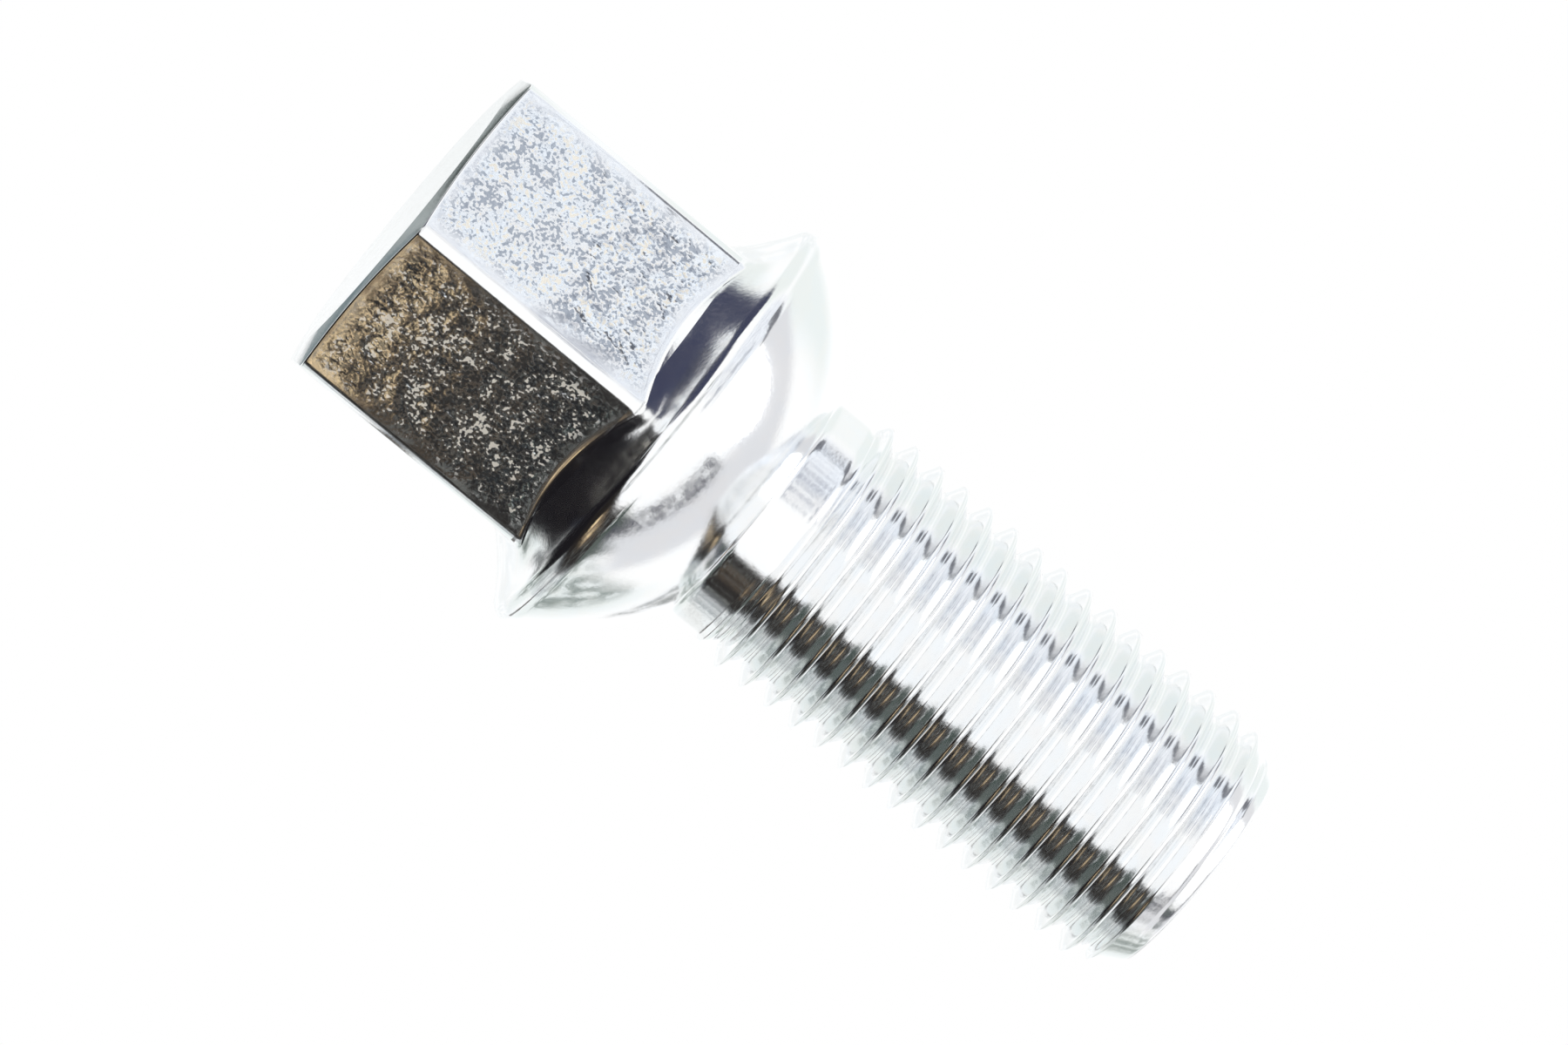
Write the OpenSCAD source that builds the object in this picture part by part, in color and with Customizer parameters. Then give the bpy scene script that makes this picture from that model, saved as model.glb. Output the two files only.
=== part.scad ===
// Wheel bolt, forged and turned in one piece: hex head, conical collar with a rolled rim,
// spherical seat, plain neck and M14 shank.
// The bolt stands on its head: Z = 0 is the flat end of the hex and +Z runs to the tip.

/* [Hex head] */
// Width across flats, a 17 mm size made slightly under so that a socket slides on
hex_af = 16.9; // [15:0.1:18.5]
// Radius of the six long edges
hex_edge_r = 0.6; // [0.2:0.1:1.2]
// How far the rim of the flat end face lies inside the flats
face_inset = 0.45; // [0.1:0.05:1.5]
// Angle of the end chamfer, measured from the end face
face_a = 30; // [15:1:45]

/* [Collar and ball seat] */
// Length of the head, from the end face to the foot of the ball seat
head_l = 21; // [18:0.1:28]
// Length of the seat, from the widest line of the rim to the foot; a longer one makes the
// collar wider
seat_l = 5.6; // [4:0.1:7.5]
// Radius of the rolled rim
rim_r = 0.9; // [0.3:0.1:1.5]
// Slope of the cone between hex and rim, measured from the plane of the rim
collar_a = 38; // [20:1:45]
// Radius of the spherical seat, centred on the bolt's axis
seat_r = 13; // [12:0.5:16]

/* [Shank] */
// Length from the foot of the ball seat to the tip
shank_l = 27; // [20:0.5:60]
// Diameter of the plain neck, which is the blank that the thread is rolled on
neck_d = 12.8; // [11.5:0.1:13.6]
// Length of the plain neck
neck_l = 2; // [1:0.1:6]
// Fillet between the ball seat and the neck
neck_fillet_r = 0.5; // [0.2:0.1:1.2]
// Outside diameter of the M14 thread, as rolled
thread_d = 13.9; // [13:0.1:15.9]
// Slope of the run-in from neck to thread, measured from the axis
run_in_a = 30; // [20:1:60]
// Diameter of the flat at the tip, smaller than the thread's root
tip_d = 11.4; // [9:0.1:12.5]
// Slope of the tip's chamfer, measured from the axis
tip_a = 30; // [20:1:60]

/* [Hidden] */
$fn = 96;

// Circles that blend into their neighbours are drawn this much larger than the tangent
// circle, so that each crosses its neighbours at a clean angle
overlap = 0.002;

// Flat end face and hex
face_r = hex_af / 2 - face_inset;
edge_c = (hex_af / 2 - hex_edge_r) / cos(30);

// Centre of the seat's sphere, so that it meets the neck at the foot of the seat
neck_r = neck_d / 2;
seat_c = [0, head_l - sqrt(seat_r * seat_r - neck_r * neck_r)];

// Rolled rim: a circle that touches the collar's cone and the seat's sphere from inside
rim_z = head_l - seat_l;
rim_x = sqrt(pow(seat_r - rim_r, 2) - pow(rim_z - seat_c.y, 2));
rim_c = [rim_x, rim_z];
collar_r = rim_x + rim_r;
cone_n = [sin(collar_a), -cos(collar_a)];
seat_n = (rim_c - seat_c) / (seat_r - rim_r);
cone_touch = rim_c + rim_r * cone_n;
seat_touch = rim_c + rim_r * seat_n;
corner_reach = 1.5;
corner_pt = rim_c + corner_reach * rim_r * (cone_n + seat_n) / (1 + cone_n * seat_n);

// Fillet between seat and neck: a circle that touches both from outside
fillet_x = neck_r + neck_fillet_r;
fillet_reach = seat_r + neck_fillet_r;
fillet_c = [fillet_x, seat_c.y + sqrt(fillet_reach * fillet_reach - fillet_x * fillet_x)];
fillet_touch = seat_c + (fillet_c - seat_c) * seat_r / fillet_reach;

// Heights along the shank
thread_r = thread_d / 2;
tip_r = tip_d / 2;
run_in_z = head_l + neck_l;
thread_z = run_in_z + (thread_r - neck_r) / tan(run_in_a);
tip_z = head_l + shank_l;
tip_chamfer_z = tip_z - (thread_r - tip_r) / tan(tip_a);

// Height of the collar's cone at radius r
function cone_z(r) = cone_touch.y + (r - cone_touch.x) * tan(collar_a);

// Hexagon with rounded corners, the first of them on +X
module hex_outline() {
    polygon([for (i = [0:5], side = [-30, 30])
        edge_c * [cos(60 * i), sin(60 * i)]
            + hex_edge_r * [cos(60 * i + side), sin(60 * i + side)]]);
    for (i = [0:5])
        rotate(60 * i)
            translate([edge_c, 0])
                circle(r = hex_edge_r + overlap);
}

// Turned outline that chamfers the end of the hex
module chamfer_outline() {
    polygon([
        [0, 0],
        [face_r, 0],
        [collar_r, (collar_r - face_r) * tan(face_a)],
        [collar_r, rim_z],
        [0, rim_z]
    ]);
}

// Hex prism with its end chamfered. It ends inside the collar, whose cone cuts each flat
// off in an arc.
module hex_head() {
    intersection() {
        linear_extrude(rim_z)
            hex_outline();
        rotate_extrude()
            chamfer_outline();
    }
}

// Half section of the collar and seat: the sphere under the cone, its corner rolled over
module collar_outline() {
    difference() {
        intersection() {
            translate(seat_c)
                circle(r = seat_r);
            polygon([
                [0, cone_z(0)],
                [seat_r, cone_z(seat_r)],
                [seat_r, head_l],
                [0, head_l]
            ]);
        }
        polygon([cone_touch, corner_pt, seat_touch]);
    }
    translate(rim_c)
        circle(r = rim_r + overlap);
}

// Half section of the fillet at the foot of the seat
module neck_fillet_outline() {
    difference() {
        polygon([
            [0, fillet_touch.y],
            fillet_touch,
            fillet_c,
            [neck_r, fillet_c.y],
            [0, fillet_c.y]
        ]);
        translate(fillet_c)
            circle(r = neck_fillet_r + overlap);
    }
}

// Collar with its conical top, rolled rim and ball seat
module collar_and_seat() {
    rotate_extrude() {
        collar_outline();
        neck_fillet_outline();
    }
}

// Neck, run-in, threaded length at its outside diameter, and chamfered tip
module shank() {
    rotate_extrude()
        polygon([
            [0, rim_z],
            [neck_r, rim_z],
            [neck_r, run_in_z],
            [thread_r, thread_z],
            [thread_r, tip_chamfer_z],
            [tip_r, tip_z],
            [0, tip_z]
        ]);
}

// The whole bolt, bright zinc plated
module wheel_bolt() {
    color([0.82, 0.84, 0.86])
        union() {
            hex_head();
            collar_and_seat();
            shank();
        }
}

wheel_bolt();
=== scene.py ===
"""Wheel bolt in bright plate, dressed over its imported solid.

One closed mesh stands for the solid. It is worked out as rings around the bolt's axis: the hex
head, the collar with its ball seat, the neck, a true helical thread and the tip. The bolt stands
on its head, so Z = 0 is the flat end of the hex and +Z runs to the tip.
"""

import logging
import math
from dataclasses import dataclass, field
from enum import Enum
from typing import Any, Sequence

import bmesh
import bpy
import numpy as np
from mathutils import Matrix, Vector


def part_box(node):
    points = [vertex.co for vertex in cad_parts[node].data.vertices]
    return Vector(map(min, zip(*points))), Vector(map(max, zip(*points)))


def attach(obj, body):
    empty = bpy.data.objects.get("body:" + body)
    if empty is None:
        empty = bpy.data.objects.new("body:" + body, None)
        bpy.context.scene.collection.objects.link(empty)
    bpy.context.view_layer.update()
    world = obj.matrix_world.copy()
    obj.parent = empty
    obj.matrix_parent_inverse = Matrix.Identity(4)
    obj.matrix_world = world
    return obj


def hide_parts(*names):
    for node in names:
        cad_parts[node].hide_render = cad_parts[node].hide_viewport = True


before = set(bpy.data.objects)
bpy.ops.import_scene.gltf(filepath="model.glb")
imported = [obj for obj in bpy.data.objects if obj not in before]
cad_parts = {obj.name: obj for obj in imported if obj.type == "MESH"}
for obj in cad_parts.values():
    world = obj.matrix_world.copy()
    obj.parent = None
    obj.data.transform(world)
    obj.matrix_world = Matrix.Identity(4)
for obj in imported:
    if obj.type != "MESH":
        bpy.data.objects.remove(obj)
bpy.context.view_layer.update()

MM = 0.001
MERGE_GAP = 2e-8
NODE = "wheel_bolt"

log = logging.getLogger("wheel_bolt")


def soft_step(x: np.ndarray, low: float, high: float) -> np.ndarray:
    """Smooth step: 0 up to low, 1 from high, and 3t^2 - 2t^3 of the share t between them.

    Args:
        x: Values to step.
        low: Where the step starts.
        high: Where the step ends.

    Returns:
        The step at each value.
    """
    t = np.clip((x - low) / (high - low), 0.0, 1.0)
    return t * t * (3.0 - 2.0 * t)


def soft_ramp(x: np.ndarray, crest_soft: float, root_soft: float) -> np.ndarray:
    """Ramp from 0 to 1 along x, with its two corners rounded by parabolas.

    Args:
        x: Position along the ramp, which starts at 0 and ends at 1.
        crest_soft: Half length of the parabola at the start.
        root_soft: Half length of the parabola at the end.

    Returns:
        The ramp at each position.
    """
    start = (x + crest_soft) ** 2 / (4.0 * crest_soft)
    end = 1.0 - (1.0 + root_soft - x) ** 2 / (4.0 * root_soft)
    y = np.where(x < crest_soft, start, x)
    y = np.where(x > 1.0 - root_soft, end, y)
    y = np.where(x < -crest_soft, 0.0, y)
    return np.where(x > 1.0 + root_soft, 1.0, y)


def soft_min(a: np.ndarray, b: np.ndarray, width: float) -> np.ndarray:
    """The lesser of a and b, blended by a parabola where they differ by less than width.

    Args:
        a: First values.
        b: Second values.
        width: Difference below which the two blend.

    Returns:
        The blended minimum.
    """
    h = np.clip(width - np.abs(a - b), 0.0, None) / width
    return np.minimum(a, b) - h * h * width / 4.0


def unit(v: np.ndarray) -> np.ndarray:
    """Vectors along the last axis, made one long."""
    return v / np.linalg.norm(v, axis=-1, keepdims=True)


def corner_arc(before: np.ndarray, corner: np.ndarray, after: np.ndarray,
               radius: float, steps: int) -> np.ndarray:
    """Points of the arc that rounds a corner of a half section, for every direction at once.

    The arc's centre lies on the corner's bisector at radius over the sine of the half angle, and
    its points turn evenly from the first tangent point to the second.

    Args:
        before: Point ahead of the corner, as (columns, 2) of radius and height.
        corner: The corner itself.
        after: Point past the corner.
        radius: Radius of the arc.
        steps: How many points the arc has.

    Returns:
        Points as (steps, columns, 2).
    """
    u, v = unit(before - corner), unit(after - corner)
    half = 0.5 * np.arccos(np.clip(np.sum(u * v, axis=-1, keepdims=True), -1.0, 1.0))
    centre = corner + unit(u + v) * radius / np.sin(half)
    first = corner + u * radius / np.tan(half) - centre
    last = corner + v * radius / np.tan(half) - centre
    turn = np.pi - 2.0 * half
    share = np.linspace(0.0, 1.0, steps)[:, None, None]
    return centre + (np.sin((1.0 - share) * turn) * first + np.sin(share * turn) * last) / np.sin(turn)


def straight(first: np.ndarray, last: np.ndarray, steps: int) -> np.ndarray:
    """Points strictly between two points, evenly spaced, for every direction at once.

    Args:
        first: Where the line starts, as (columns, 2).
        last: Where the line ends.
        steps: How many points lie between them.

    Returns:
        Points as (steps, columns, 2).
    """
    share = np.linspace(0.0, 1.0, steps + 2)[1:-1, None, None]
    return first * (1.0 - share) + last * share


def level_ring(radius: float, height: float, columns: int) -> np.ndarray:
    """A half-section point that is the same in every direction, as (columns, 2)."""
    return np.tile([radius, height], (columns, 1))


def circle_arc(centre: Sequence[float], radius: float, start: float, end: float, steps: int,
               columns: int) -> np.ndarray:
    """Points of an arc that is the same in every direction: centre + radius * (cos, sin).

    Args:
        centre: Radius and height of the arc's centre.
        radius: Radius of the arc.
        start: First angle in radians, from the outward direction towards the tip.
        end: Last angle in radians.
        steps: How many points the arc has.
        columns: How many directions to repeat it for.

    Returns:
        Points as (steps, columns, 2).
    """
    a = np.linspace(start, end, steps)
    points = np.stack([centre[0] + radius * np.cos(a), centre[1] + radius * np.sin(a)], axis=-1)
    return np.repeat(points[:, None, :], columns, axis=1)


@dataclass
class Waves:
    """Uneven surface as a sum of plane sine waves in seeded random directions.

    The waves are longer or shorter than length, in mm, by up to a factor of spread.
    """

    seed: int
    length: float
    spread: float = 1.8
    count: int = 28

    def height(self, points: np.ndarray) -> np.ndarray:
        """Height of the waves at points, mostly between -1 and 1.

        Each wave is the sine of the dot product of the point with a wave vector, plus a phase.

        Args:
            points: Places in mm, with x, y and z along the last axis.

        Returns:
            The sum of the waves over the square root of their count.
        """
        rng = np.random.default_rng(self.seed)
        ways = unit(rng.normal(size=(self.count, 3)))
        lengths = self.length * self.spread ** rng.uniform(-1.0, 1.0, self.count)
        phases = rng.uniform(0.0, 2.0 * np.pi, self.count)
        turns = points @ (ways * (2.0 * np.pi / lengths)[:, None]).T
        return np.sin(turns + phases).sum(axis=-1) / math.sqrt(self.count)


@dataclass
class HexHead:
    """Hex with rounded long edges and a chamfered flat end. Sizes are in mm.

    The frosted grain keeps three distances from a flat's long edges, its low end and its top,
    and comes in over the margin. Columns and steps are counts of the mesh's points.
    """

    across_flats: float = 16.9
    edge_r: float = 0.85
    face_inset: float = 1.0
    face_angle: float = math.radians(10.0)
    face_round: float = 0.5
    chamfer_round: float = 0.12
    dent: float = 0.02
    frost_side: float = 0.51
    frost_low: float = 0.3
    frost_top: float = 0.1
    frost_margin: float = 0.8
    corner_columns: int = 9
    flat_columns: int = 21
    face_steps: int = 10
    face_round_steps: int = 5
    chamfer_round_steps: int = 8
    flat_steps: int = 44
    waves: Waves = field(default_factory=lambda: Waves(seed=17, length=4.2))

    @property
    def edge_c(self) -> float:
        """Distance of an edge's rounding centre from the axis."""
        return (self.across_flats / 2.0 - self.edge_r) / math.cos(math.pi / 6.0)

    @property
    def face_r(self) -> float:
        """Radius of the flat end face."""
        return self.across_flats / 2.0 - self.face_inset

    @property
    def edge_half_angle(self) -> float:
        """Half of the angle that one rounded edge takes up, seen from the axis."""
        side = self.edge_r * math.sin(math.pi / 6.0)
        return math.atan2(side, self.edge_c + self.edge_r * math.cos(math.pi / 6.0))

    def directions(self) -> np.ndarray:
        """Angles of the mesh's columns, close on the edges and wide on the flats.

        They start in the middle of a flat, so that the seam lies where columns are wide.

        Returns:
            Angles in radians, from 30 degrees round to just short of 390.
        """
        half, sector = self.edge_half_angle, math.pi / 3.0
        on_edge = np.linspace(-half, half, self.corner_columns)
        on_flat = np.linspace(half, sector - half, self.flat_columns + 2)[1:-1]
        one = np.concatenate([on_edge, on_flat])
        start = math.pi / 6.0
        every = np.sort(np.mod(np.concatenate([one + sector * i for i in range(6)]) - start,
                               2.0 * math.pi))
        return every + start

    def from_corner(self, theta: np.ndarray) -> np.ndarray:
        """Angle from the nearest corner of the hex, without its sign."""
        return np.abs(np.mod(theta + math.pi / 6.0, math.pi / 3.0) - math.pi / 6.0)

    def outline(self, theta: np.ndarray) -> np.ndarray:
        """Radius of the rounded hexagon.

        On a flat it is half the width over the cosine of the angle from the flat's middle. On an
        edge it is where a ray from the axis meets the rounding circle.

        Args:
            theta: Directions in radians, with a corner at 0.

        Returns:
            Radius in each direction.
        """
        psi = self.from_corner(theta)
        flat = self.across_flats / 2.0 / np.cos(math.pi / 6.0 - psi)
        inside = np.clip(self.edge_r ** 2 - (self.edge_c * np.sin(psi)) ** 2, 0.0, None)
        edge = self.edge_c * np.cos(psi) + np.sqrt(inside)
        return np.where(psi < self.edge_half_angle, edge, flat)

    def frost(self, theta: np.ndarray, z: np.ndarray, top: np.ndarray) -> np.ndarray:
        """How much of the flats' frosted grain a point has, from 0 on the edges to 1.

        Args:
            theta: Direction of each point.
            z: Height of each point.
            top: Height where the flat runs out on the collar, in the same direction.

        Returns:
            Share of the grain at each point.
        """
        psi = self.from_corner(theta)
        across = self.across_flats / 2.0 * (math.tan(math.pi / 6.0) - np.tan(math.pi / 6.0 - psi))
        share = np.ones_like(z)
        for distance, start in ((across, self.frost_side), (z, self.frost_low),
                                (top - z, self.frost_top)):
            share = share * soft_step(distance, start, start + self.frost_margin)
        return share


@dataclass
class BallCollar:
    """Conical collar with a rolled rim, the ball seat past it and the neck. Sizes are in mm."""

    head_l: float = 21.0
    seat_r: float = 13.0
    seat_l: float = 5.6
    rim_r: float = 0.9
    slope: float = math.radians(38.0)
    root_fillet: float = 0.6
    dish: float = 0.1
    neck_r: float = 6.4
    neck_fillet: float = 0.5
    root_steps: int = 9
    cone_steps: int = 8
    rim_steps: int = 14
    seat_steps: int = 26
    fillet_steps: int = 6
    neck_steps: int = 3

    @property
    def seat_z(self) -> float:
        """Height of the centre of the seat's sphere."""
        return self.head_l - math.sqrt(self.seat_r ** 2 - self.neck_r ** 2)

    @property
    def rim_z(self) -> float:
        """Height of the rim's widest line."""
        return self.head_l - self.seat_l

    @property
    def rim_x(self) -> float:
        """Distance of the rim's rounding centre from the axis."""
        return math.sqrt((self.seat_r - self.rim_r) ** 2 - (self.rim_z - self.seat_z) ** 2)

    @property
    def cone_touch(self) -> tuple[float, float]:
        """Radius and height where the cone runs into the rim."""
        return (self.rim_x + self.rim_r * math.sin(self.slope),
                self.rim_z - self.rim_r * math.cos(self.slope))

    def cone_z(self, r: np.ndarray) -> np.ndarray:
        """Height of the cone at a radius."""
        return self.cone_touch[1] + (r - self.cone_touch[0]) * math.tan(self.slope)

    def dished(self, line: np.ndarray) -> np.ndarray:
        """Sinks the cone's rows by a parabola, deepest halfway between hex and rim.

        Args:
            line: Rows of the cone as (rows, columns, 2).

        Returns:
            The rows, moved against the cone's normal.
        """
        share = np.linspace(0.0, 1.0, len(line) + 2)[1:-1, None]
        depth = self.dish * 4.0 * share * (1.0 - share)
        normal = np.array([math.sin(self.slope), -math.cos(self.slope)])
        return line - depth[..., None] * normal

    def rings(self, columns: int) -> np.ndarray:
        """Half section of the rim, the seat, the fillet at its foot and the neck's start.

        The rim is an arc from the cone round to the sphere, the seat an arc of the sphere, and
        the fillet an arc that touches the sphere and the neck from outside.

        Args:
            columns: How many directions to repeat it for.

        Returns:
            Points as (rings, columns, 2).
        """
        seat_way = math.atan2(self.rim_z - self.seat_z, self.rim_x)
        reach = self.seat_r + self.neck_fillet
        fillet_x = self.neck_r + self.neck_fillet
        fillet_way = math.acos(fillet_x / reach)
        fillet_z = self.seat_z + reach * math.sin(fillet_way)
        cone_way = self.slope - math.pi / 2.0
        rim = circle_arc((self.rim_x, self.rim_z), self.rim_r, cone_way, seat_way,
                         self.rim_steps, columns)
        seat = circle_arc((0.0, self.seat_z), self.seat_r, seat_way, fillet_way,
                          self.seat_steps, columns)
        fillet = circle_arc((fillet_x, fillet_z), self.neck_fillet, fillet_way + math.pi, math.pi,
                            self.fillet_steps, columns)
        return np.concatenate([rim, seat[1:], fillet[1:]])


@dataclass
class RolledThread:
    """Right-hand M14 x 1.5 thread, rolled on the neck's blank. Sizes are in mm.

    The crest is a share of the pitch, and its rounding and the root's are shares of a flank. The
    phases place the mesh's rows within a pitch, closest together on the crest.
    """

    pitch: float = 1.5
    outside_r: float = 6.95
    depth: float = 0.9
    crest_share: float = 0.125
    crest_soft: float = 0.1
    root_soft: float = 0.14
    flank_angle: float = math.radians(30.0)
    crest_z: float = 24.165
    fade: tuple[float, float] = (22.75, 24.2)
    turns: int = 16
    lead_turns: float = 1.5
    row_phases: tuple[float, ...] = (0.0, 0.05, 0.1, 0.15, 0.2, 0.29, 0.37, 0.425, 0.465,
                                     0.5, 0.535, 0.575, 0.63, 0.71, 0.8, 0.85, 0.9, 0.95)

    @property
    def start_z(self) -> float:
        """Height where the rows of the thread start, in the middle of a root."""
        return self.crest_z - self.pitch * self.lead_turns

    @property
    def end_z(self) -> float:
        """Height where the last wedge of rows closes to a level ring."""
        return self.start_z + self.pitch * (self.turns + 1)

    def radius(self, theta: np.ndarray, z: np.ndarray, blank_r: float) -> np.ndarray:
        """Radius of the threaded surface.

        The phase is the height over the pitch less the turn of the direction. From the crest's
        middle the radius stays level over half the crest, falls along the flank and stays level
        again in the root. Near the neck it fades into the blank.

        Args:
            theta: Directions in radians.
            z: Heights.
            blank_r: Radius of the blank that the thread fades into.

        Returns:
            Radius at each place.
        """
        phase = (z - self.crest_z) / self.pitch - theta / (2.0 * math.pi)
        off = np.abs(phase - np.round(phase))
        run = self.depth * math.tan(self.flank_angle) / self.pitch
        fall = soft_ramp((off - self.crest_share / 2.0) / run, self.crest_soft, self.root_soft)
        full = self.outside_r - self.depth * fall
        share = soft_step(z, *self.fade)
        return blank_r * (1.0 - share) + full * share


@dataclass
class BoltTip:
    """Chamfered end of the shank. Sizes are in mm."""

    flat_r: float = 5.7
    slope: float = math.radians(30.0)
    edge_round: float = 0.35
    blend: float = 0.18
    cone_steps: int = 2
    round_steps: int = 7
    flat_steps: int = 8

    def cone_r(self, z: np.ndarray, tip_z: float) -> np.ndarray:
        """Radius of the chamfer's cone at a height."""
        return self.flat_r + (tip_z - z) * math.tan(self.slope)


@dataclass
class WheelBolt:
    """The whole bolt as one closed mesh."""

    tip_z: float
    head: HexHead = field(default_factory=HexHead)
    collar: BallCollar = field(default_factory=BallCollar)
    thread: RolledThread = field(default_factory=RolledThread)
    tip: BoltTip = field(default_factory=BoltTip)

    def head_rings(self, theta: np.ndarray) -> tuple[np.ndarray, np.ndarray]:
        """Half sections from the middle of the end face to the start of the thread.

        Args:
            theta: Directions of the columns.

        Returns:
            Points as (rings, columns, 2), and the share of frosted grain as (rings, columns).
        """
        head, collar, n = self.head, self.collar, len(theta)
        rho = head.outline(theta)
        middle = level_ring(0.0, 0.0, n)
        face = level_ring(head.face_r, 0.0, n)
        low = np.stack([rho, (rho - head.face_r) * math.tan(head.face_angle)], axis=-1)
        top = np.stack([rho, collar.cone_z(rho)], axis=-1)
        rim = level_ring(*collar.cone_touch, n)
        neck_end = level_ring(collar.neck_r, self.thread.start_z, n)
        face_arc = corner_arc(middle, face, low, head.face_round, head.face_round_steps)
        low_arc = corner_arc(face, low, top, head.chamfer_round, head.chamfer_round_steps)
        top_arc = corner_arc(low, top, rim, collar.root_fillet, collar.root_steps)
        cone = straight(top_arc[-1], rim, collar.cone_steps)
        turned = collar.rings(n)
        points = np.concatenate([
            middle[None], straight(middle, face_arc[0], head.face_steps), face_arc, low_arc,
            straight(low_arc[-1], top_arc[0], head.flat_steps), top_arc, collar.dished(cone),
            turned, straight(turned[-1], neck_end, collar.neck_steps), neck_end[None]])
        r, z = points[..., 0], points[..., 1]
        on_flat = (r > rho - 0.5 * head.chamfer_round) & (z <= top[:, 1])
        frost = np.where(on_flat, head.frost(theta, z, top[:, 1]), 0.0)
        return self.forge(theta, points, frost), frost

    def forge(self, theta: np.ndarray, points: np.ndarray, frost: np.ndarray) -> np.ndarray:
        """Dents the flats slightly, as forging dies leave them.

        Args:
            theta: Directions of the columns.
            points: Points as (rings, columns, 2).
            frost: Share of the flat's grain at each point, which limits the dents.

        Returns:
            The points with their radius changed.
        """
        head = self.head
        place = np.stack([points[..., 0] * np.cos(theta), points[..., 0] * np.sin(theta),
                          points[..., 1]], axis=-1)
        made = points.copy()
        made[..., 0] -= frost * head.dent * head.waves.height(place)
        return made

    def shank_r(self, theta: np.ndarray, z: np.ndarray) -> np.ndarray:
        """Radius of the threaded shank, cut back by the chamfer at the tip."""
        full = self.thread.radius(theta, z, self.collar.neck_r)
        return soft_min(full, self.tip.cone_r(z, self.tip_z), self.tip.blend)

    def shank_grids(self, theta: np.ndarray) -> list[np.ndarray]:
        """Rows of the thread: a wedge that opens, the helical rows, and a wedge that closes.

        A helical row rises by one pitch a turn, so each of its ends meets the row one turn on.
        The first wedge opens from a level ring, its rows at a share of the pitch times the turn,
        and the last wedge mirrors it. The seam's column is in each grid twice.

        Args:
            theta: Directions of the columns, with the first repeated a turn later.

        Returns:
            Three grids of heights, as (rows, columns + 1).
        """
        thread = self.thread
        turn = (theta - theta[0])[None, :] / (2.0 * math.pi)
        phases = np.array(thread.row_phases)
        closed = np.append(phases, 1.0)[:, None]
        rows = np.append((np.arange(thread.turns)[:, None] + phases[None, :]).ravel(),
                         float(thread.turns))[:, None]
        opening = thread.start_z + thread.pitch * closed * turn
        middle = thread.start_z + thread.pitch * (rows + turn)
        closing = thread.end_z - thread.pitch * (1.0 - closed) * (1.0 - turn)
        return [opening, middle, closing]

    def tip_rings(self, theta: np.ndarray) -> np.ndarray:
        """Half sections from the thread's last ring over the tip to the middle of its flat.

        Args:
            theta: Directions of the columns.

        Returns:
            Points as (rings, columns, 2).
        """
        tip, n = self.tip, len(theta)
        z = np.full(n, self.thread.end_z)
        start = np.stack([self.shank_r(theta, z), z], axis=-1)
        edge = level_ring(tip.flat_r, self.tip_z, n)
        middle = level_ring(0.0, self.tip_z, n)
        arc = corner_arc(start, edge, middle, tip.edge_round, tip.round_steps)
        return np.concatenate([start[None], straight(start, arc[0], tip.cone_steps), arc,
                               straight(arc[-1], middle, tip.flat_steps), middle[None]])

    def build(self) -> bpy.types.Object:
        """Makes the closed mesh of the whole bolt.

        Returns:
            The bolt's object, at the origin, with its grain in the attribute frost.
        """
        theta = self.head.directions()
        round_trip = np.append(theta, theta[0] + 2.0 * math.pi)
        head, frost = self.head_rings(round_trip)
        grids = [(round_trip, head, frost)]
        for z in self.shank_grids(round_trip):
            r = self.shank_r(round_trip[None, :], z)
            grids.append((round_trip, np.stack([r, z], axis=-1), np.zeros_like(z)))
        tip = self.tip_rings(round_trip)
        grids.append((round_trip, tip, np.zeros(tip.shape[:2])))
        return closed_mesh("wheel_bolt_dressed", grids)


def closed_mesh(name: str, grids: list[tuple[np.ndarray, np.ndarray, np.ndarray]]
                ) -> bpy.types.Object:
    """One closed mesh from grids of half-section points.

    A point of radius r, height z and direction t lies at (r cos t, r sin t, z). Neighbouring
    points of a grid make a quad, and points that grids share are merged.

    Args:
        name: Name of the object and its mesh.
        grids: Directions, points as (rows, columns, 2) in mm, and grain as (rows, columns).

    Returns:
        The object, linked to the scene.
    """
    places, faces, grain, first = [], [], [], 0
    for theta, points, frost in grids:
        rows, columns = points.shape[:2]
        r, z = points[..., 0], points[..., 1]
        places.append(np.stack([r * np.cos(theta), r * np.sin(theta), z], axis=-1).reshape(-1, 3))
        grain.append(frost.ravel())
        index = first + np.arange(rows * columns).reshape(rows, columns)
        faces.append(np.stack([index[:-1, :-1], index[:-1, 1:], index[1:, 1:], index[1:, :-1]],
                              axis=-1).reshape(-1, 4))
        first += rows * columns
    mesh = bpy.data.meshes.new(name)
    mesh.from_pydata(np.concatenate(places) * MM, [], np.concatenate(faces))
    mesh.attributes.new("frost", "FLOAT", "POINT").data.foreach_set(
        "value", np.concatenate(grain).astype(np.float32))
    shell = bmesh.new()
    shell.from_mesh(mesh)
    bmesh.ops.remove_doubles(shell, verts=shell.verts, dist=MERGE_GAP)
    bmesh.ops.recalc_face_normals(shell, faces=shell.faces)
    open_edges = sum(1 for e in shell.edges if len(e.link_faces) != 2)
    shell.to_mesh(mesh)
    shell.free()
    mesh.shade_smooth()
    log.info("%s: %d faces, %d open edges", name, len(mesh.polygons), open_edges)
    made = bpy.data.objects.new(name, mesh)
    bpy.context.collection.objects.link(made)
    return made


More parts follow.
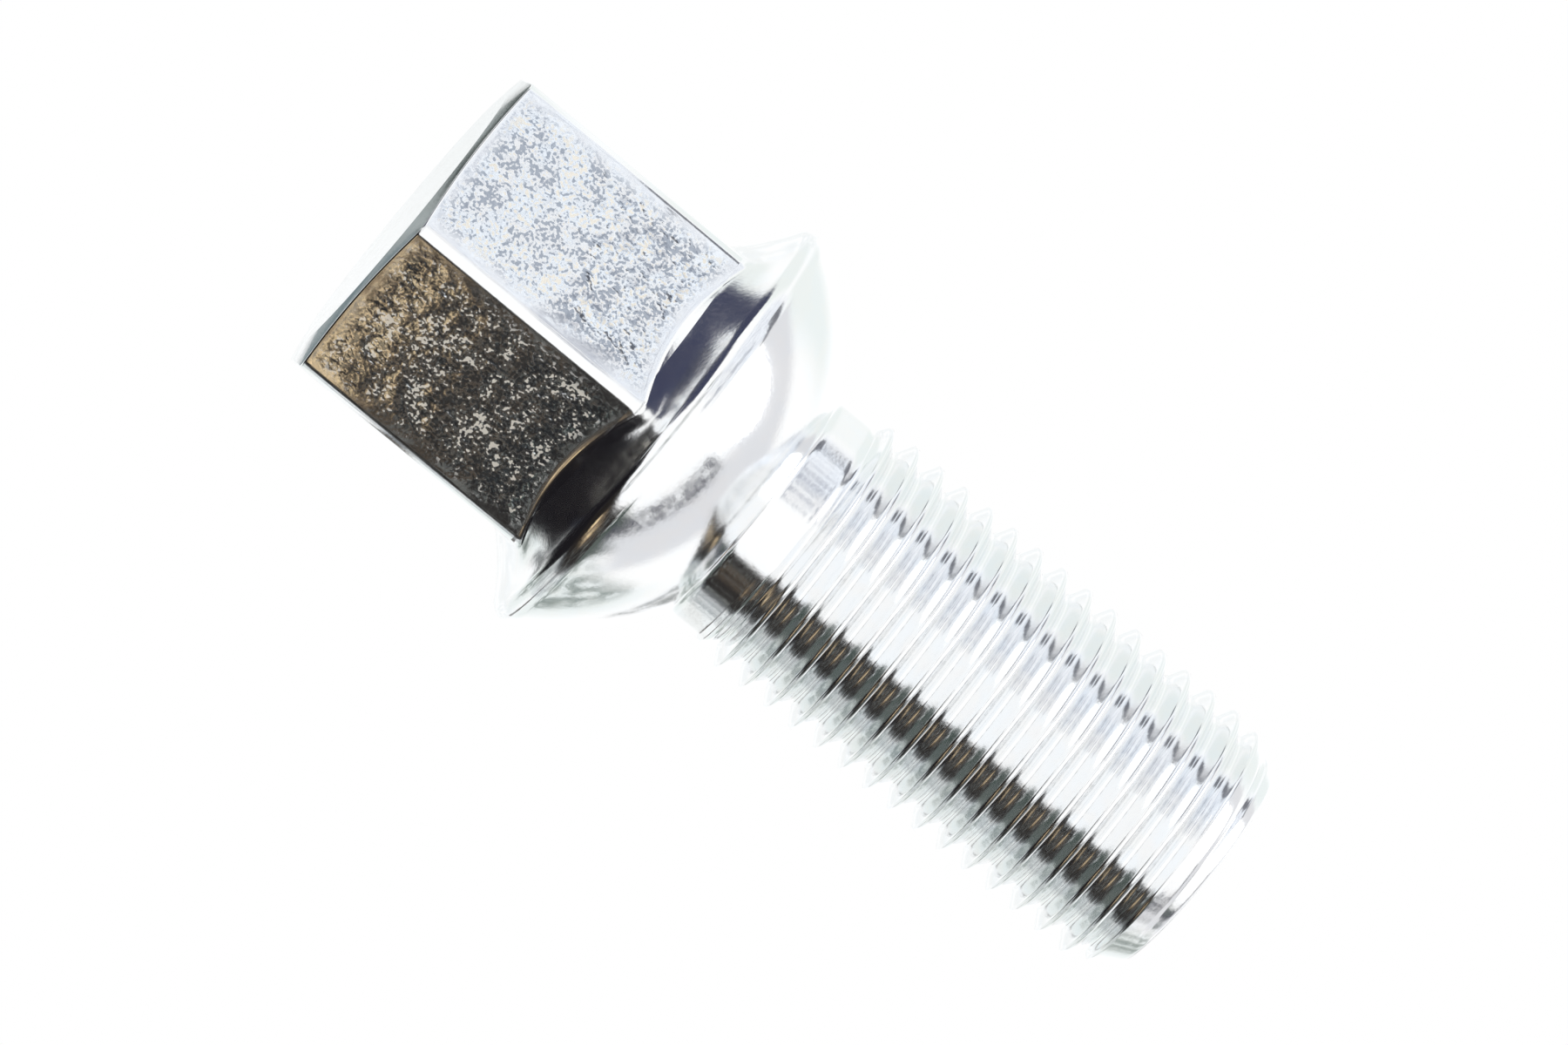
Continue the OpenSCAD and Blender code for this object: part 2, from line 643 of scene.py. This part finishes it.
class Sock:
    """A shader value or colour, with operators that add Math nodes."""

    def __init__(self, shader: "Shader", socket: bpy.types.NodeSocket) -> None:
        """Keeps the node tree and the socket that holds the value."""
        self.shader = shader
        self.socket = socket

    def _math(self, operation: str, *values: Any) -> "Sock":
        """A Math node of these values."""
        return self.shader.node("ShaderNodeMath", {"operation": operation},
                                dict(enumerate(values)))

    def __add__(self, other: Any) -> "Sock":
        """Sum."""
        return self._math("ADD", self, other)

    def __sub__(self, other: Any) -> "Sock":
        """Difference."""
        return self._math("SUBTRACT", self, other)

    def __rsub__(self, other: Any) -> "Sock":
        """Difference from a number."""
        return self._math("SUBTRACT", other, self)

    def __mul__(self, other: Any) -> "Sock":
        """Product."""
        return self._math("MULTIPLY", self, other)

    def __pow__(self, other: Any) -> "Sock":
        """Power."""
        return self._math("POWER", self, other)

    __radd__ = __add__
    __rmul__ = __mul__

    def spread(self, low: float, high: float) -> "Sock":
        """A share from 0 to 1, spread over low to high."""
        return self * (high - low) + low

    def at_most(self, limit: float) -> "Sock":
        """The lesser of the value and a limit."""
        return self._math("MINIMUM", self, limit)

    def size(self) -> "Sock":
        """Value without its sign."""
        return self._math("ABSOLUTE", self)

    def arcsine(self) -> "Sock":
        """Angle in radians of which this is the sine."""
        return self._math("ARCSINE", self)

    def angle_to(self, other: "Sock") -> "Sock":
        """Angle in radians of the point (other, self), seen from the origin."""
        return self._math("ARCTAN2", self, other)

    def step(self, low: float, high: float) -> "Sock":
        """Smooth step from 0 at low to 1 at high."""
        return self.shader.node("ShaderNodeMapRange", {"interpolation_type": "SMOOTHSTEP"},
                                {"Value": self, "From Min": low, "From Max": high,
                                 "To Min": 0.0, "To Max": 1.0})

    def band(self, low: float, high: float, soft: float) -> "Sock":
        """1 between low and high, with soft edges of that half width."""
        return self.step(low - soft, low + soft) - self.step(high - soft, high + soft)


class Shader:
    """A node tree that is written as expressions."""

    def __init__(self, tree: bpy.types.NodeTree) -> None:
        """Empties the tree."""
        self.tree = tree
        tree.nodes.clear()

    def node(self, kind: str, settings: dict[str, Any] | None = None,
             inputs: dict[Any, Any] | None = None, output: Any = 0) -> Sock:
        """Adds one node.

        Args:
            kind: Type of the node.
            settings: Attributes of the node, which are set before its sockets.
            inputs: Value or Sock for each input, by name or number.
            output: Name or number of the output that is returned.

        Returns:
            The output, as a Sock.
        """
        made = self.tree.nodes.new(kind)
        for key, value in (settings or {}).items():
            setattr(made, key, value)
        for key, value in (inputs or {}).items():
            if isinstance(value, Sock):
                self.tree.links.new(value.socket, made.inputs[key])
            else:
                made.inputs[key].default_value = value
        return Sock(self, made.outputs[output])

    def end(self, kind: str, surface: Sock) -> None:
        """Adds the tree's output node and gives it this surface."""
        made = self.tree.nodes.new(kind)
        self.tree.links.new(surface.socket, made.inputs["Surface"])

    def mix(self, share: Any, a: Any, b: Any) -> Sock:
        """Colour a, with a share of colour b mixed in.

        The Mix node's inputs 6 and 7 and its output 2 are the ones for colours.

        Args:
            share: Number or Sock from 0 to 1.
            a: First colour, as three numbers or a Sock.
            b: Second colour.

        Returns:
            The mixed colour.
        """
        inputs = {0: share, 6: self.colour(a), 7: self.colour(b)}
        return self.node("ShaderNodeMix", {"data_type": "RGBA"}, inputs, 2)

    @staticmethod
    def colour(value: Any) -> Any:
        """A colour for a socket: a Sock stays, three numbers get an alpha of 1."""
        return value if isinstance(value, Sock) else (*value, 1.0)


Colour = tuple[float, float, float]


@dataclass(frozen=True)
class Grain:
    """One scale of the plate's unevenness: the size of its features and the height it adds."""

    size: float
    height: float

    def noise(self, sh: Shader, place: Sock) -> Sock:
        """Noise from 0 to 1 with features of this size."""
        return sh.node("ShaderNodeTexNoise", {}, {"Vector": place, "Scale": 1.0 / self.size,
                                                  "Detail": 1.0, "Roughness": 0.5})


@dataclass(frozen=True)
class BrightPlate:
    """Bright plate on forged steel: hammered grain on the flats, smoother elsewhere.

    Lengths are in metres. Two fine grains add up to a fleck at each place. On the flats, low
    flecks are dull spots and high flecks are pale dust, and the blotches shift both limits.
    """

    colour: Colour = (0.93, 0.94, 0.95)
    cool: Colour = (0.87, 0.93, 0.97)
    warm: Colour = (0.95, 0.93, 0.89)
    tint_range: tuple[float, float] = (-0.15, 0.15)
    tint_smooth: float = 0.15
    tint_frost: float = 0.6
    blotch: Grain = Grain(0.0012, 0.00015)
    grain: Grain = Grain(0.00034, 0.000024)
    pits: Grain = Grain(0.00017, 0.000007)
    fleck_grain: float = 0.4
    fleck_pits: float = 0.6
    dull: Colour = (0.36, 0.40, 0.46)
    dull_level: float = 0.475
    dull_shift: float = 0.42
    dull_edge: tuple[float, float] = (-0.02, 0.07)
    dull_share: float = 0.85
    dust: Colour = (0.89, 0.83, 0.72)
    dust_shift: float = 0.5
    dust_edge: tuple[float, float] = (0.595, 0.645)
    dust_share: float = 0.9
    dust_matt: float = 0.6
    smooth_rough: float = 0.12
    uneven_rough: float = 0.08
    tip_edge: tuple[float, float] = (0.0479, 0.048)
    tip_rough: float = 0.3
    smooth_grain: float = 0.05
    smooth_pits: float = 0.2
    flat_middle: float = 0.0065
    flat_crown: float = 16.0

    def stained(self, sh: Shader, frost: Sock, patch: Sock, fleck: Sock) -> tuple[Sock, Sock]:
        """Colour of the plate with its tints, dull spots and dust.

        Args:
            sh: The material's shader.
            frost: Share of the flats' grain.
            patch: The blotches, less their mean.
            fleck: The two fine grains, added up.

        Returns:
            The colour, and the share of dust.
        """
        tint = sh.mix(patch.step(*self.tint_range), self.cool, self.warm)
        base = sh.mix(frost.spread(self.tint_smooth, self.tint_frost), self.colour, tint)
        spots = (self.dull_level + patch * self.dull_shift - fleck).step(*self.dull_edge) * frost
        base = sh.mix(spots * self.dull_share, base, self.dull)
        dust = (fleck - patch * self.dust_shift).step(*self.dust_edge) * frost
        return sh.mix(dust * self.dust_share, base, self.dust), dust

    def relief(self, up: Sock, frost: Sock, patch: Sock, grain: Sock, pits: Sock) -> Sock:
        """Height of the surface: three grains, less the parabola that crowns the flats.

        Args:
            up: Height of each place on the bolt.
            frost: Share of the flats' grain.
            patch: The blotches, less their mean.
            grain: The middle grain.
            pits: The finest grain.

        Returns:
            Height in metres.
        """
        height = (patch * frost * self.blotch.height
                  + pits * self.pits.height * frost.spread(self.smooth_pits, 1.0)
                  + grain * self.grain.height * frost.spread(self.smooth_grain, 1.0))
        along = (up - self.flat_middle).at_most(self.flat_middle)
        return height - along ** 2.0 * self.flat_crown

    def make(self) -> bpy.types.Material:
        """Makes the material.

        Returns:
            The material, procedural on Object coordinates and the attribute frost.
        """
        material = bpy.data.materials.new("bright_plate")
        material.use_nodes = True
        sh = Shader(material.node_tree)
        place = sh.node("ShaderNodeTexCoord", output="Object")
        up = sh.node("ShaderNodeSeparateXYZ", {}, {0: place}, "Z")
        frost = sh.node("ShaderNodeAttribute", {"attribute_name": "frost"}, output="Fac")
        blotch, grain, pits = (one.noise(sh, place) for one in (self.blotch, self.grain, self.pits))
        patch = blotch - 0.5
        fleck = grain * self.fleck_grain + pits * self.fleck_pits
        base, dust = self.stained(sh, frost, patch, fleck)
        rough = (self.smooth_rough + up.step(*self.tip_edge) * self.tip_rough
                 + patch * self.uneven_rough + (pits - 0.5) * self.uneven_rough)
        height = self.relief(up, frost, patch, grain, pits)
        bump = sh.node("ShaderNodeBump", {}, {"Strength": 1.0, "Distance": 1.0,
                                              "Height": height}, "Normal")
        surface = sh.node("ShaderNodeBsdfPrincipled", {}, {
            "Base Color": base, "Metallic": 1.0 - dust * self.dust_matt, "Roughness": rough,
            "Normal": bump})
        sh.end("ShaderNodeOutputMaterial", surface)
        return material


@dataclass(frozen=True)
class PaleFloor:
    """Pale matt floor, seen only from above."""

    colour: Colour = (0.86, 0.87, 0.88)
    cloud_scale: float = 9.0
    cloud_detail: float = 3.0
    cloud_range: tuple[float, float] = (0.3, 0.7)
    cloud_shade: float = 0.985
    rough: float = 0.85
    radius: float = 0.9
    sides: int = 96

    def make(self) -> bpy.types.Material:
        """Makes the floor's material.

        Returns:
            The material, which a ray from below passes through.
        """
        material = bpy.data.materials.new("pale_floor")
        material.use_nodes = True
        sh = Shader(material.node_tree)
        place = sh.node("ShaderNodeTexCoord", output="Object")
        cloud = sh.node("ShaderNodeTexNoise", {}, {
            "Vector": place, "Scale": self.cloud_scale, "Detail": self.cloud_detail})
        darker = tuple(self.cloud_shade * c for c in self.colour)
        shade = sh.mix(cloud.step(*self.cloud_range), self.colour, darker)
        paper = sh.node("ShaderNodeBsdfPrincipled", {}, {"Base Color": shade,
                                                         "Roughness": self.rough})
        clear = sh.node("ShaderNodeBsdfTransparent")
        under = sh.node("ShaderNodeNewGeometry", output="Backfacing")
        surface = sh.node("ShaderNodeMixShader", {}, {0: under, 1: paper, 2: clear})
        sh.end("ShaderNodeOutputMaterial", surface)
        return material

    def lay(self) -> bpy.types.Object:
        """Lays the floor as a disc at height 0.

        The disc's rim is radius * (cos, sin) of evenly spaced angles.

        Returns:
            The floor, which reflections don't see.
        """
        turn = np.linspace(0.0, 2.0 * math.pi, self.sides + 1)[:-1]
        ring = np.stack([self.radius * np.cos(turn), self.radius * np.sin(turn), 0.0 * turn], axis=-1)
        mesh = bpy.data.meshes.new("floor")
        mesh.from_pydata(ring, [], [list(range(self.sides))])
        floor = bpy.data.objects.new("floor", mesh)
        bpy.context.collection.objects.link(floor)
        mesh.materials.append(self.make())
        floor.visible_glossy = False
        return floor


class Side(Enum):
    """The sides of the studio that a panel stands on, by the sign of its azimuth."""

    LEFT = 1
    RIGHT = -1
    BOTH = 0


class Speckle(Enum):
    """Scales of the noise that breaks a panel up, or none."""

    NONE = 0.0
    BROAD = 9.0
    MIDDLE = 15.0
    FINE = 30.0


@dataclass(frozen=True)
class Panel:
    """A coloured panel or gap in the studio's wall, seen only in reflections.

    Azimuths are in degrees from +X, on the side given, and rises in degrees from level up to +Z.
    Its edges fade over soft degrees to each side, and at most its share shows. A speckled panel
    shows only where the noise in its direction lies above its level, which has a soft edge too.
    """

    azimuth: tuple[float, float]
    rise: tuple[float, float]
    colour: Colour
    side: Side = Side.BOTH
    soft: float = 5.0
    share: float = 1.0
    speckle: Speckle = Speckle.NONE
    level: float = 0.5
    level_soft: float = 0.04

    def mask(self, azimuth: Sock, rise: Sock, noises: dict[Speckle, Sock]) -> Sock:
        """How much of the panel is seen in each direction.

        Args:
            azimuth: Azimuth in degrees, negative on the right.
            rise: Angle above level in degrees.
            noises: The noise of each speckle.

        Returns:
            Share of the panel from 0 to 1.
        """
        turned = azimuth.size() if self.side is Side.BOTH else azimuth * float(self.side.value)
        seen = turned.band(*self.azimuth, self.soft) * rise.band(*self.rise, self.soft) * self.share
        if self.speckle is Speckle.NONE:
            return seen
        noise = noises[self.speckle]
        return seen * noise.step(self.level - self.level_soft, self.level + self.level_soft)


# Colours and ranges that several panels share
PALE_GREEN = (0.80, 0.87, 0.84)
MOSS = (0.16, 0.20, 0.18)
SOOT = (0.012, 0.011, 0.013)
NIGHT_BLUE = (0.055, 0.060, 0.105)
CHAMFER_AZIMUTH = (172.8, 181.0)
CHAMFER_RISE = (-40.0, -10.0)

# Each comment names what mirrors the panels under it. A later panel lies over the earlier ones.
PANELS = (
    # Faint edges of the thread, the neck, the seat and the rim
    Panel((96.0, 150.0), (5.0, 45.0), PALE_GREEN, soft=8.0, share=0.6),
    Panel((96.0, 150.0), (-45.0, -5.0), PALE_GREEN, soft=8.0, share=0.6),
    # Spots in the middle of the thread and the rim
    Panel((0.0, 42.0), (-42.0, -27.0), (0.20, 0.22, 0.22), soft=3.0, share=0.8,
          speckle=Speckle.MIDDLE, level=0.49),
    # Right flat, and the right half of the thread with its strokes and ticks
    Panel((40.0, 90.0), (-32.0, 38.0), (1.00, 1.04, 1.10), Side.RIGHT, soft=8.0, share=0.8),
    Panel((19.0, 60.0), (4.8, 20.0), (0.42, 0.44, 0.50), Side.RIGHT, soft=2.0, share=0.8,
          speckle=Speckle.MIDDLE, level=0.46),
    Panel((25.0, 90.0), (-32.0, 38.0), (0.34, 0.37, 0.46), Side.RIGHT, soft=6.0, share=0.7,
          speckle=Speckle.FINE, level=0.56),
    Panel((74.0, 88.0), (6.0, 44.0), (0.07, 0.07, 0.09), Side.RIGHT, soft=0.8, share=0.85),
    # Streaks at the left edge of the thread, the seat and the rim
    Panel((92.0, 140.0), (20.0, 46.0), MOSS, Side.LEFT, share=0.85,
          speckle=Speckle.MIDDLE, level=0.47),
    Panel((92.0, 140.0), (-46.0, -20.0), MOSS, Side.LEFT, share=0.85,
          speckle=Speckle.MIDDLE, level=0.47),
    # Left flat, the thread's dark band and its ends on the flanks
    Panel((44.0, 66.0), (24.0, 54.0), (0.06, 0.08, 0.07), Side.LEFT, soft=4.0,
          speckle=Speckle.BROAD, level=0.42),
    Panel((60.0, 94.0), (24.0, 58.0), (0.05, 0.07, 0.06), Side.LEFT, soft=3.0, share=0.95),
    Panel((42.0, 92.0), (-62.0, 30.0), (0.020, 0.017, 0.016), Side.LEFT, soft=2.5),
    # Dark arcs of the cone and the rim, near the middle edge of the hex
    Panel((30.0, 92.0), (-87.0, -60.0), SOOT, Side.LEFT, soft=1.5),
    Panel((30.0, 114.0), (-87.0, -62.0), NIGHT_BLUE, Side.RIGHT, soft=1.5),
    # Flecks at the left end of the seat and of the rim
    Panel((158.0, 177.0), (26.0, 49.0), (0.10, 0.12, 0.12), Side.LEFT, soft=2.0, share=0.9,
          speckle=Speckle.FINE, level=0.47),
    Panel((149.0, 164.0), (-56.0, -34.0), (0.05, 0.06, 0.06), Side.LEFT, soft=2.0, share=0.9,
          speckle=Speckle.FINE, level=0.44),
    # Line along the left edge of the hex, and streaks beside the thread's dark band
    Panel((86.0, 150.0), (1.2, 4.4), (0.05, 0.04, 0.03), Side.LEFT, soft=0.6),
    Panel((88.0, 114.0), (-34.0, 30.0), (0.30, 0.33, 0.35), Side.LEFT, soft=5.0, share=0.85,
          speckle=Speckle.FINE, level=0.49),
    # Gold line where the left flat meets the cone
    Panel((56.0, 66.0), (-36.0, -27.0), (1.05, 0.80, 0.47), Side.LEFT, soft=1.5, share=0.9),
    # Brown, gold and grey specks of the left flat
    Panel((53.0, 69.0), (-6.0, 14.0), (0.11, 0.08, 0.055), Side.LEFT, soft=3.0,
          speckle=Speckle.FINE, level=0.49, level_soft=0.05),
    Panel((50.0, 72.0), (-32.0, -4.0), (0.24, 0.18, 0.12), Side.LEFT, soft=3.0,
          speckle=Speckle.MIDDLE, level=0.47, level_soft=0.06),
    Panel((57.0, 67.0), (-21.0, -9.0), (1.15, 0.86, 0.50), Side.LEFT, soft=3.0,
          speckle=Speckle.FINE, level=0.49, level_soft=0.03),
    Panel((42.0, 90.0), (-20.0, 34.0), (0.20, 0.21, 0.20), Side.LEFT, soft=3.0, share=0.9,
          speckle=Speckle.MIDDLE, level=0.62, level_soft=0.03),
    # Dark arcs of the cone and the rim, out to their ends
    Panel((86.0, 130.0), (-82.0, -34.0), SOOT, Side.LEFT, soft=2.0),
    Panel((120.0, 152.0), (-82.0, -42.0), SOOT, Side.LEFT, soft=2.0),
    Panel((112.0, 156.0), (-82.0, -42.0), NIGHT_BLUE, Side.RIGHT, soft=2.0),
    Panel((148.0, 176.0), (-84.0, -52.0), (0.035, 0.038, 0.05), soft=2.0),
    # Chamfer at the end of the head, with the wide pale panel behind it
    Panel((140.0, 200.0), (-24.0, 4.0), (0.90, 0.93, 0.93), soft=8.0, share=0.7,
          speckle=Speckle.MIDDLE, level=0.46),
    Panel(CHAMFER_AZIMUTH, CHAMFER_RISE, (0.32, 0.36, 0.36), soft=0.6, share=0.9),
    Panel(CHAMFER_AZIMUTH, CHAMFER_RISE, (0.03, 0.04, 0.035), Side.RIGHT, soft=0.6, share=0.95,
          speckle=Speckle.FINE, level=0.49),
    Panel(CHAMFER_AZIMUTH, CHAMFER_RISE, (0.10, 0.15, 0.17), Side.LEFT, soft=0.6, share=0.8,
          speckle=Speckle.FINE, level=0.52),
)


@dataclass(frozen=True)
class StudioRoom:
    """White studio round the bolt, with the panels that its bright metal mirrors."""

    white: Colour = (1.0, 1.0, 1.0)
    soft_box: Colour = (1.09, 1.09, 1.09)
    panels: tuple[Panel, ...] = PANELS
    speckle_detail: float = 1.5
    overhead: tuple[float, float] = (0.45, 0.62)
    slab: tuple[float, float] = (-0.25, 0.13)
    slab_soft: float = 0.05
    slab_end: tuple[float, float] = (0.56, 0.68)
    slab_colour: Colour = (0.79, 0.79, 0.81)
    rail: tuple[float, float] = (0.09, 0.26)
    rail_soft: float = 0.02
    rail_run: tuple[float, float] = (-0.06, 0.66)
    rail_run_soft: float = 0.04
    rail_speckle: tuple[float, float] = (0.42, 0.52)
    rail_colour: Colour = (0.08, 0.08, 0.10)
    lamp_size: float = 0.5
    lamp_power: float = 1.6
    lamp_spot: tuple[float, float, float] = (0.25, -0.35, 0.7)

    def speckles(self, sh: Shader, way: Sock) -> dict[Speckle, Sock]:
        """The noise of each speckle, in every direction."""
        return {speckle: sh.node("ShaderNodeTexNoise", {}, {
            "Vector": way, "Scale": speckle.value, "Detail": self.speckle_detail})
            for speckle in Speckle if speckle is not Speckle.NONE}

    def room(self, sh: Shader) -> Sock:
        """Colour of the studio in each direction, as the metal mirrors it.

        The panels come first, in order. Over them hang a pale slab and a speckled dark rail, which
        run along Y and which the ball seat mirrors. Their places are parts of the direction's
        unit vector.

        Args:
            sh: The world's shader.

        Returns:
            The colour.
        """
        way = sh.node("ShaderNodeTexCoord", output="Generated")
        x, y, z = (sh.node("ShaderNodeSeparateXYZ", {}, {0: way}, i) for i in range(3))
        azimuth = y.angle_to(x) * math.degrees(1.0)
        rise = z.arcsine() * math.degrees(1.0)
        noises = self.speckles(sh, way)
        room = self.soft_box
        for panel in self.panels:
            room = sh.mix(panel.mask(azimuth, rise, noises), room, panel.colour)
        overhead = z.step(*self.overhead)
        slab = x.band(*self.slab, self.slab_soft) * overhead * (1.0 - y.step(*self.slab_end))
        room = sh.mix(slab, room, self.slab_colour)
        rail = x.band(*self.rail, self.rail_soft) * y.band(*self.rail_run, self.rail_run_soft)
        flecks = noises[Speckle.FINE].step(*self.rail_speckle)
        return sh.mix(rail * overhead * flecks, room, self.rail_colour)

    def light(self) -> bpy.types.World:
        """Sets the world: plain white to the camera and to matt surfaces, panels to reflections.

        Returns:
            The world, set as the scene's own.
        """
        world = bpy.data.worlds.new("studio")
        bpy.context.scene.world = world
        world.use_nodes = True
        sh = Shader(world.node_tree)
        mirrored = sh.node("ShaderNodeLightPath", output="Is Glossy Ray")
        plain = sh.node("ShaderNodeBackground", {}, {"Color": Shader.colour(self.white)})
        shown = sh.node("ShaderNodeBackground", {}, {"Color": self.room(sh)})
        sh.end("ShaderNodeOutputWorld",
               sh.node("ShaderNodeMixShader", {}, {0: mirrored, 1: plain, 2: shown}))
        return world

    def hang_lamp(self) -> bpy.types.Object:
        """Hangs one large soft lamp, which gives the floor a gentle shadow.

        Returns:
            The lamp, turned towards the origin.
        """
        data = bpy.data.lights.new("soft_lamp", "AREA")
        data.shape = "DISK"
        data.size = self.lamp_size
        data.energy = self.lamp_power
        lamp = bpy.data.objects.new("soft_lamp", data)
        bpy.context.collection.objects.link(lamp)
        lamp.location = self.lamp_spot
        lamp.rotation_euler = (-Vector(self.lamp_spot)).to_track_quat("-Z", "Y").to_euler()
        return lamp


@dataclass(frozen=True)
class PhotoCamera:
    """Camera at the photograph's viewing angle. Pixels are those of the 1800 x 1200 picture.

    The pivot is the point of the bolt's axis at pivot_z. Lengths are in mm, apart from the clip
    distances in metres.
    """

    image: tuple[float, float] = (1800.0, 1200.0)
    pivot_px: tuple[float, float] = (919.8, 625.5)
    pivot_z: float = 24.0
    px_per_mm: float = 24.63
    distance: float = 602.0
    tilt: float = math.radians(5.41)
    axis_fall: float = math.radians(39.54)
    corner_turn: float = math.radians(0.79)
    sensor: float = 36.0
    clip: tuple[float, float] = (0.01, 20.0)

    def ways(self) -> np.ndarray:
        """Directions of the camera in the bolt's frame.

        In camera terms (right, down, away) the axis from head to tip is (cos t cos f, cos t sin f,
        sin t) of the tilt t and the fall f, the direction towards the camera across the axis is
        (sin t cos f, sin t sin f, -cos t), and the third direction is (sin f, -cos f, 0). The
        matrix adds up the outer products of the same three directions in both frames.

        Returns:
            The matrix, with the camera's right, down and away as its columns.
        """
        t, f, c = self.tilt, self.axis_fall, self.corner_turn
        axis = np.array([math.cos(t) * math.cos(f), math.cos(t) * math.sin(f), math.sin(t)])
        near = np.array([math.sin(t) * math.cos(f), math.sin(t) * math.sin(f), -math.cos(t)])
        side = np.array([math.sin(f), -math.cos(f), 0.0])
        world_axis = np.array([0.0, 0.0, 1.0])
        world_near = np.array([math.cos(c), math.sin(c), 0.0])
        world_side = np.array([math.sin(c), -math.cos(c), 0.0])
        return (np.outer(world_axis, axis) + np.outer(world_near, near)
                + np.outer(world_side, side))

    def place(self) -> bpy.types.Object:
        """Places the camera so that the bolt's axis falls across the picture as in the photo.

        Returns:
            The camera, set as the scene's own.
        """
        ways = self.ways()
        right, down, away = ways.T
        pivot = [(p - s / 2.0) / self.px_per_mm for p, s in zip(self.pivot_px, self.image)]
        pivot.append(self.distance)
        spot = (np.array([0.0, 0.0, self.pivot_z]) - ways @ np.array(pivot)) * MM
        data = bpy.data.cameras.new("photo_camera")
        data.sensor_width = self.sensor
        data.lens = self.px_per_mm * self.distance * self.sensor / self.image[0]
        data.clip_start, data.clip_end = self.clip
        camera = bpy.data.objects.new("photo_camera", data)
        bpy.context.collection.objects.link(camera)
        turn = Matrix([right, -down, -away]).transposed().to_4x4()
        camera.matrix_world = Matrix.Translation(Vector(spot)) @ turn
        bpy.context.scene.camera = camera
        return camera


def main() -> None:
    """Builds the bolt, its stage and its light, in order, and reports each piece."""
    logging.basicConfig(level=logging.INFO, format="%(name)s: %(message)s")
    camera = PhotoCamera().place()
    log.info("%s: placed, with a lens of %.0f mm", camera.name, camera.data.lens)
    tip_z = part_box(NODE)[1][2] / MM
    bolt = WheelBolt(tip_z=tip_z).build()
    bolt.data.materials.append(BrightPlate().make())
    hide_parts(NODE)
    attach(bolt, "root")
    log.info("%s: dressed, %.1f mm long", bolt.name, tip_z)
    studio = StudioRoom()
    for piece in (PaleFloor().lay(), studio.light(), studio.hang_lamp()):
        log.info("%s: set up", piece.name)
    bpy.context.scene.view_settings.view_transform = "Standard"


if __name__ == "__main__":
    main()
